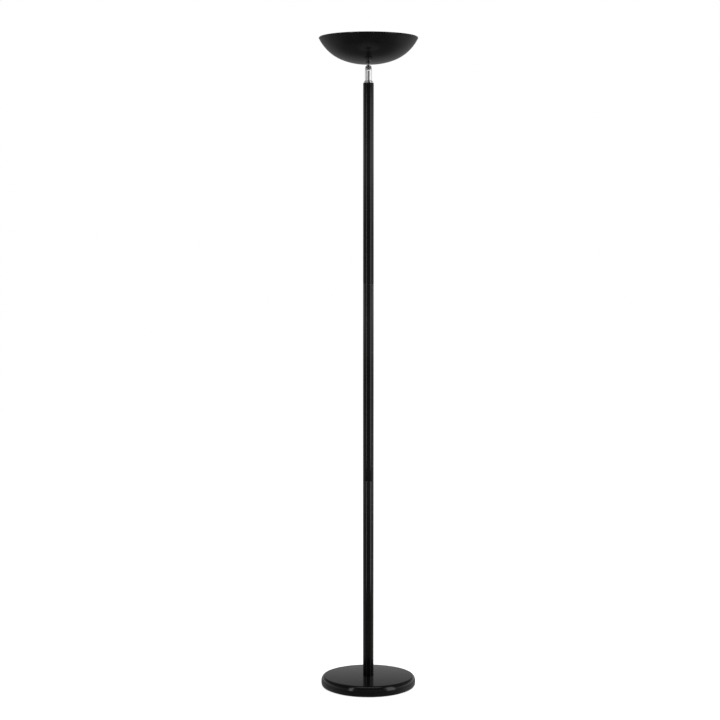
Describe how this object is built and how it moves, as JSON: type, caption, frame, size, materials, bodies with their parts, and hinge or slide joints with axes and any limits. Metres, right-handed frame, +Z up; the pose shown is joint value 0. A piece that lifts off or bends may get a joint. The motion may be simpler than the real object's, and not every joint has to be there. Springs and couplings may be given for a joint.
{
  "type": "torchiere floor lamp",
  "caption": "Free-standing uplighter: weighted round base, slim tubular pole and an upturned bowl shade that tilts on a forked knuckle and holds a linear halogen lamp.",
  "frame": {"origin": "middle of the felt pad's underside, on the floor", "axes": "+Z up the pole; -Y towards the front, +Y towards the cord inlet; the tilt screw and the lamp tube lie along X"},
  "size_m": [0.272, 0.272, 1.8],
  "materials": {
    "black_paint": "gloss",
    "chrome": "polished",
    "zinc": "zinc plated",
    "cement": "rough",
    "felt": "matte",
    "rubber": "matte",
    "lead_sheath": "satin",
    "ceramic": "unglazed",
    "bright_aluminium": "bright",
    "quartz": "clear",
    "tungsten": "drawn wire",
    "brass": "turned",
    "wire_sleeve": "woven sleeve"
  },
  "bodies": {
    "stand": {"base_cover": "black_paint", "base_weight": "cement", "felt_pad": "felt", "cord_inlet": "rubber", "tie_rod": "zinc", "base_washer": "zinc", "base_nut": "zinc", "foot_bush": "zinc", "pole_lower": "black_paint", "pole_middle": "black_paint", "pole_upper": "black_paint", "coupler_lower": "zinc", "coupler_upper": "zinc", "pole_cap": "black_paint", "pole_lead": "lead_sheath", "neck_collar": "chrome", "neck_fork": "chrome", "tilt_screw": "chrome", "tilt_nut": "chrome", "friction_washer_left": "zinc", "friction_washer_right": "zinc"},
    "shade": {"shade_tongue": "chrome", "seat_washer": "chrome", "shade_bowl": "black_paint", "shade_washer": "zinc", "shade_nut": "zinc", "holder_bracket": "zinc", "bracket_nut": "zinc", "socket_left": "ceramic", "socket_right": "ceramic", "socket_screw_left": "zinc", "socket_screw_right": "zinc", "contact_spring_left": "zinc", "contact_spring_right": "zinc", "lamp_tube": "quartz", "lamp_filament": "tungsten", "lamp_cap_left": "ceramic", "lamp_cap_right": "ceramic", "reflector": "bright_aluminium", "reflector_screw_left": "zinc", "reflector_screw_right": "zinc", "protective_glass": "quartz", "glass_clip_front": "zinc", "glass_clip_rear": "zinc", "terminal_block": "ceramic", "shade_lead": "lead_sheath", "socket_wire_left": "wire_sleeve", "socket_wire_right": "wire_sleeve"},
    "contact_left": {"contact_pin_left": "brass"},
    "contact_right": {"contact_pin_right": "brass"}
  },
  "joints": [
    {"name": "shade_tilt", "type": "hinge", "parent": "stand", "child": "shade", "pos_m": [0, 0, 1.718], "axis": [1, 0, 0], "range_deg": [-75, 75]},
    {"name": "contact_left_slide", "type": "slide", "parent": "shade", "child": "contact_left", "axis": [-1, 0, 0], "range_m": [0, 0.003], "stiffness_N_per_m": 800, "springref_m": -0.003, "deforming": ["contact_spring_left"]},
    {"name": "contact_right_slide", "type": "slide", "parent": "shade", "child": "contact_right", "axis": [1, 0, 0], "range_m": [0, 0.003], "stiffness_N_per_m": 800, "springref_m": -0.003, "deforming": ["contact_spring_right"]}
  ]
}
